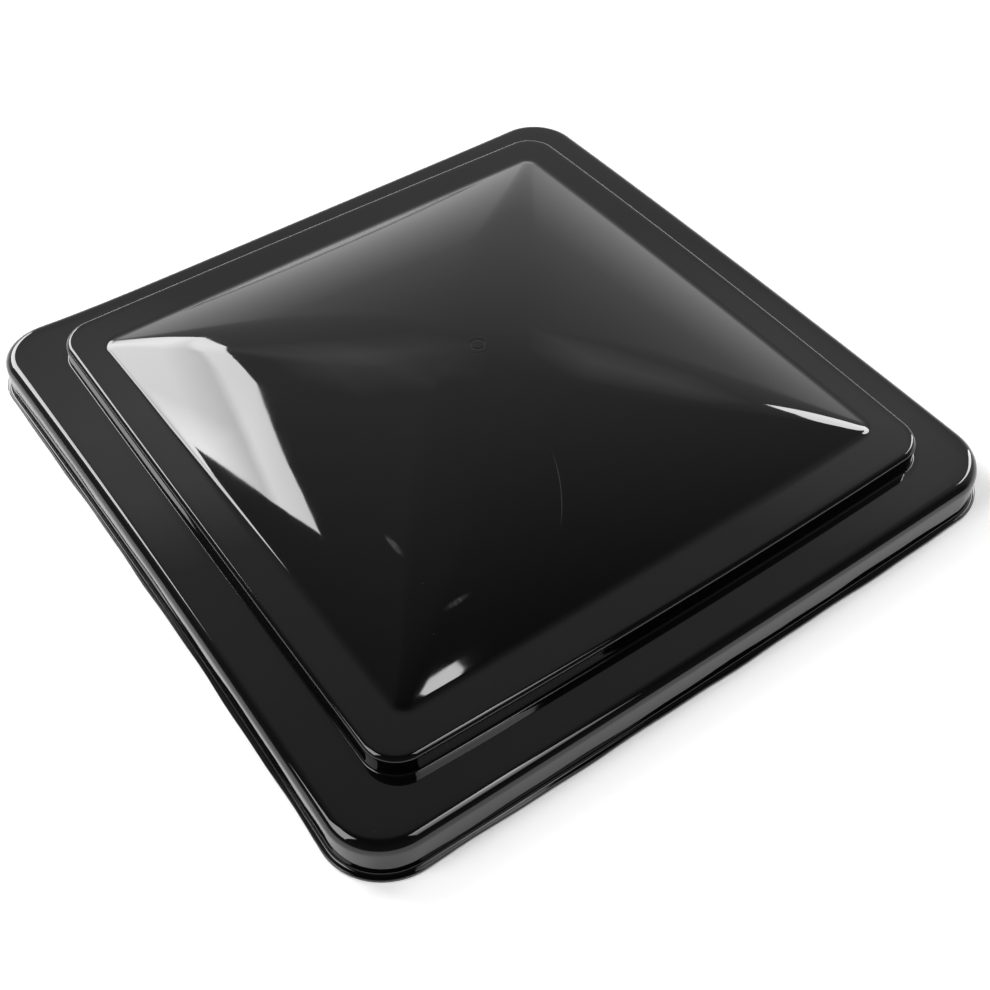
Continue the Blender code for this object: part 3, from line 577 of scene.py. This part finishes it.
def gloss_black():
    """Gloss black moulding: faint waviness, a haze of handling, dust, rubs and one scratch."""
    material, tree, shader = new_material("gloss_black_moulding")
    marks = calculate(
        tree,
        "MULTIPLY",
        hairline(tree, SCRATCH_CENTRE, SCRATCH_RADIUS, SCRATCH_HALF_WIDTH),
        rub_mark(tree, *SCRATCH_SPOT),
    )
    rubs = rub_mark(tree, *RUBS[0])
    for rub in RUBS[1:]:
        rubs = calculate(tree, "MAXIMUM", rubs, rub_mark(tree, *rub))
    streaks = remap(tree, noise(tree, 900.0, 3.0, (1.0, 0.25, 1.0)), 0.35, 0.7, 0.55, 1.0)
    rubs = calculate(tree, "MULTIPLY", rubs, streaks)
    specks = remap(tree, cells(tree, 115.0), 0.012, 0.022, 1.0, 0.0)
    patches = remap(tree, noise(tree, 14.0, 2.0), 0.5, 0.64, 0.0, 1.0)
    dust = calculate(tree, "MULTIPLY", specks, patches)
    tone = two_tone(tree, noise(tree, 9.0, 3.0), (0.0016, 0.0016, 0.0017), (0.0024, 0.0024, 0.0026))
    tone = two_tone(tree, calculate(tree, "MULTIPLY", rubs, 0.6), tone, (0.04, 0.04, 0.041))
    tone = two_tone(tree, calculate(tree, "MULTIPLY", marks, 0.9), tone, (0.05, 0.05, 0.051))
    tone = two_tone(tree, dust, tone, (0.07, 0.07, 0.068))
    tree.links.new(tone, shader.inputs["Base Color"])
    haze = remap(tree, noise(tree, 26.0, 4.0), 0.3, 0.7, 0.022, 0.042)
    haze = calculate(tree, "ADD", haze, calculate(tree, "MULTIPLY", rubs, 0.25))
    tree.links.new(haze, shader.inputs["Roughness"])
    shader.inputs["IOR"].default_value = PLASTIC_IOR
    bump(tree, shader, noise(tree, 55.0, 1.0), 0.012 * MM)
    return material


def foam_seal():
    """Closed-cell foam with a fine pitted skin."""
    material, tree, shader = new_material("closed_cell_foam")
    tone = two_tone(tree, noise(tree, 420.0, 4.0), (0.016, 0.016, 0.017), (0.05, 0.05, 0.052))
    tree.links.new(tone, shader.inputs["Base Color"])
    rough = remap(tree, noise(tree, 150.0, 2.0), 0.3, 0.7, 0.78, 0.95)
    tree.links.new(rough, shader.inputs["Roughness"])
    bump(tree, shader, cells(tree, 1100.0), 0.35 * MM)
    return material


def metal(name, dark, light, low, high, grain):
    """Bare or plated metal with grain that runs one way and a mottled finish."""
    material, tree, shader = new_material(name)
    shader.inputs["Metallic"].default_value = 1.0
    mottle = noise(tree, 130.0, 3.0)
    brushed = noise(tree, 2600.0, 2.0, grain)
    tree.links.new(two_tone(tree, mottle, dark, light), shader.inputs["Base Color"])
    both = calculate(
        tree,
        "ADD",
        calculate(tree, "MULTIPLY", mottle, 1.0 - BRUSHED_SHARE),
        calculate(tree, "MULTIPLY", brushed, BRUSHED_SHARE),
    )
    tree.links.new(remap(tree, both, 0.3, 0.7, low, high), shader.inputs["Roughness"])
    bump(tree, shader, brushed, 0.01 * MM)
    return material


def nylon():
    """Natural nylon with slight yellowing and a fine moulded texture."""
    material, tree, shader = new_material("natural_nylon")
    tone = two_tone(tree, noise(tree, 110.0, 3.0), (0.70, 0.66, 0.55), (0.80, 0.78, 0.71))
    tree.links.new(tone, shader.inputs["Base Color"])
    tree.links.new(remap(tree, noise(tree, 700.0, 2.0), 0.3, 0.7, 0.36, 0.52), shader.inputs["Roughness"])
    bump(tree, shader, noise(tree, 1500.0, 2.0), 0.03 * MM)
    return material


def dress_hardware():
    """Give every carried-over part its finish by the start of its name."""
    track_zinc = metal("zinc_plated_track", (0.50, 0.51, 0.53), (0.66, 0.67, 0.70), 0.26, 0.42, ALONG_Y)
    leaf_zinc = metal("zinc_plated_leaf", (0.52, 0.53, 0.54), (0.67, 0.68, 0.70), 0.26, 0.44, ALONG_X)
    screw_steel = metal("screw_steel", (0.58, 0.58, 0.59), (0.72, 0.72, 0.73), 0.18, 0.32, ROUND_Z)
    pin_steel = metal("pin_steel", (0.58, 0.58, 0.59), (0.72, 0.72, 0.73), 0.16, 0.30, ROUND_X)
    clip_steel = metal("clip_spring_steel", (0.40, 0.41, 0.44), (0.58, 0.59, 0.62), 0.22, 0.36, ALONG_Z)
    alloy = metal("rivet_alloy", (0.64, 0.65, 0.67), (0.78, 0.79, 0.80), 0.24, 0.40, ALONG_Z)
    finishes = {
        "seal_gasket": foam_seal(),
        "lift_track": track_zinc,
        "track_screw": screw_steel,
        "slider_shoe": nylon(),
        "arm_pivot_pin": pin_steel,
        "pin_retaining_clip": clip_steel,
        "lid_hinge_leaf": leaf_zinc,
        "base_hinge_leaf": leaf_zinc,
        "hinge_pin": pin_steel,
        "hinge_rivet": alloy,
    }
    for name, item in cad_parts.items():
        for start, material in finishes.items():
            if name.startswith(start):
                for place_of_material in item.material_slots:
                    place_of_material.material = material


def build_floor():
    """Pale paper on which the lid lies."""
    h = FLOOR_HALF
    floor = mesh_object("floor", [(-h, -h, 0.0), (h, -h, 0.0), (h, h, 0.0), (-h, h, 0.0)], [(0, 1, 2, 3)])
    material, _, shader = new_material("floor_paper")
    settings = {
        "Base Color": (0.9, 0.9, 0.9, 1.0),
        "Emission Color": (1.0, 1.0, 1.0, 1.0),
        "Emission Strength": FLOOR_GLOW,
        "Roughness": 0.9,
        "Specular IOR Level": 0.0,
    }
    for name, value in settings.items():
        shader.inputs[name].default_value = value
    floor.data.materials.append(material)


def build_world():
    """World light by direction: a white sweep beyond the lid as seen from the camera, in a dark room."""
    world = bpy.data.worlds.new("studio")
    bpy.context.scene.world = world
    world.use_nodes = True
    tree = world.node_tree
    direction = add_node(tree, "ShaderNodeTexCoord", {}).outputs["Generated"]
    up = add_node(tree, "ShaderNodeSeparateXYZ", {"Vector": direction}).outputs["Z"]
    height = add_node(tree, "ShaderNodeValToRGB", {"Fac": up})
    ramp = height.color_ramp
    while len(ramp.elements) < len(SWEEP_LEVELS):
        ramp.elements.new(0.5)
    for element, (position, level) in zip(ramp.elements, SWEEP_LEVELS):
        element.position = position
        element.color = (level, level, level, 1.0)
    ahead = add_node(
        tree, "ShaderNodeVectorMath", {0: direction, 1: heading(SWEEP_AZIMUTH, 0.0)}, operation="DOT_PRODUCT"
    )
    share = remap(tree, ahead.outputs["Value"], SWEEP_FADE_TO, SWEEP_FADE_FROM, ROOM_SHARE, 1.0)
    background = tree.nodes["Background"]
    background.inputs["Color"].default_value = (1.0, 1.0, 1.0, 1.0)
    level = calculate(tree, "MULTIPLY", height.outputs["Color"], share)
    tree.links.new(level, background.inputs["Strength"])


def heading(azimuth, elevation):
    """Unit vector for a compass direction, 0 along +Y and 90 along +X."""
    az = math.radians(azimuth)
    el = math.radians(elevation)
    return Vector((math.sin(az) * math.cos(el), math.cos(az) * math.cos(el), math.sin(el)))


def light_panel(name, rows, distance=PANEL_DISTANCE):
    """Softbox face from rows of (azimuth, elevation, brightness), all of one length."""
    vertices = []
    levels = []
    for row in rows:
        for azimuth, elevation, level in row:
            vertices.append(heading(azimuth, elevation) * distance)
            levels.append(level)
    width = len(rows[0])
    faces = []
    for index in range(len(rows) - 1):
        low = index * width
        for column in range(width - 1):
            faces.append((low + column, low + column + 1, low + width + column + 1, low + width + column))
    panel = mesh_object(name, vertices, faces)
    glow_level = panel.data.attributes.new("glow_level", "FLOAT", "POINT")
    for entry, level in zip(glow_level.data, levels):
        entry.value = level
    material = bpy.data.materials.new(name + "_glow")
    material.use_nodes = True
    tree = material.node_tree
    tree.nodes.clear()
    level = add_node(tree, "ShaderNodeAttribute", {}, attribute_name="glow_level").outputs["Fac"]
    glow = add_node(tree, "ShaderNodeEmission", {"Strength": level}).outputs[0]
    clear = add_node(tree, "ShaderNodeBsdfTransparent", {}).outputs[0]
    both = add_node(tree, "ShaderNodeAddShader", {0: glow, 1: clear}).outputs[0]
    add_node(tree, "ShaderNodeOutputMaterial", {"Surface": both})
    panel.data.materials.append(material)
    panel.visible_camera = False


def build_camera():
    """Camera on a circle round the lid, a little rolled."""
    data = bpy.data.cameras.new("camera")
    data.lens = CAMERA_LENS
    data.sensor_width = CAMERA_SENSOR
    data.clip_start = CAMERA_CLIP
    camera = bpy.data.objects.new("camera", data)
    bpy.context.scene.collection.objects.link(camera)
    view = heading(CAMERA_AZIMUTH, -CAMERA_ELEVATION)
    camera.location = CAMERA_AIM - view * CAMERA_DISTANCE
    roll = Matrix.Rotation(math.radians(-CAMERA_ROLL), 3, "Z")
    camera.rotation_euler = (view.to_track_quat("-Z", "Y").to_matrix() @ roll).to_euler()
    bpy.context.scene.camera = camera


dress_hardware()
black = gloss_black()
lid = build_lid()
bosses = build_bosses()
for piece in (lid, bosses):
    piece.data.materials.append(black)
    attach(piece, "lid")
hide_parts("lid_shell")

build_floor()
build_world()
light_panel("softbox_left", LEFT_ROWS)
light_panel("softbox_right", RIGHT_ROWS)
light_panel("softbox_front", FRONT_ROWS)
light_panel("softbox_near", NEAR_ROWS)
light_panel("spill_left", SPILL_ROWS, SPILL_DISTANCE)
light_panel("spill_right", RIGHT_SPILL_ROWS, SPILL_DISTANCE)
build_camera()
bpy.context.scene.view_settings.view_transform = "Standard"
